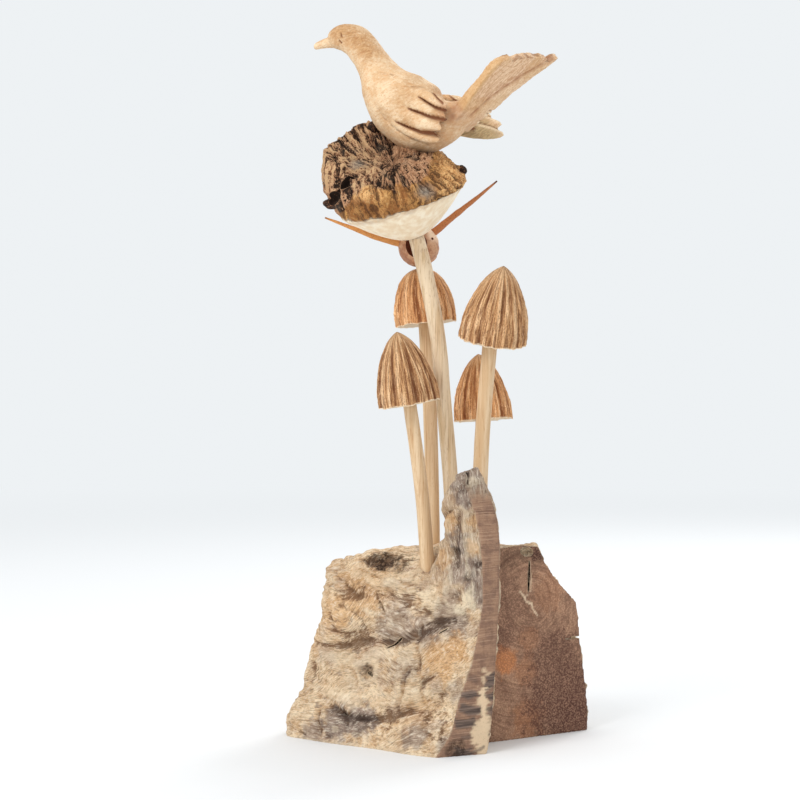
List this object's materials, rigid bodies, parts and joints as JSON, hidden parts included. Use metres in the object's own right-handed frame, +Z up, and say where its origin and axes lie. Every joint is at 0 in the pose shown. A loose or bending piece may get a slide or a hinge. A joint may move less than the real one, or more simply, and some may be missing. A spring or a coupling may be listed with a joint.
{
  "type": "bird on mushroom carving",
  "caption": "Carved wooden bird on a burl-capped mushroom beside smaller fluted mushrooms, standing in a block of root wood.",
  "frame": {"origin": "on the surface it stands on, under the middle of the root block", "axes": "+Z up, the natural face and the narrow sawn band of the block face -Y, the bird's head points to -X and a little to +Y"},
  "size_m": [0.1278, 0.08, 0.2991],
  "materials": {
    "root_wood": "natural burl face, sawn sides, unvarnished",
    "tall_stem_wood": "smooth pale dowel, unvarnished",
    "stem_wood": "smooth yellowish dowel with fine streaks",
    "fluted_wood": "fluted, scorched in the grooves",
    "bird_wood": "carved and sanded, unvarnished, over a dark burl cap",
    "thorn_wood": "dry gall with orange-brown thorns"
  },
  "bodies": {
    "root": {"root_block": "root_wood", "tall_stem": "tall_stem_wood", "front_left_stem": "stem_wood", "rear_left_stem": "stem_wood", "front_right_stem": "stem_wood", "rear_right_stem": "stem_wood", "front_left_cap": "fluted_wood", "rear_left_cap": "fluted_wood", "front_right_cap": "fluted_wood", "rear_right_cap": "fluted_wood", "bird_on_burl_cap": "bird_wood", "thorn_gall": "thorn_wood"}
  },
  "joints": []
}
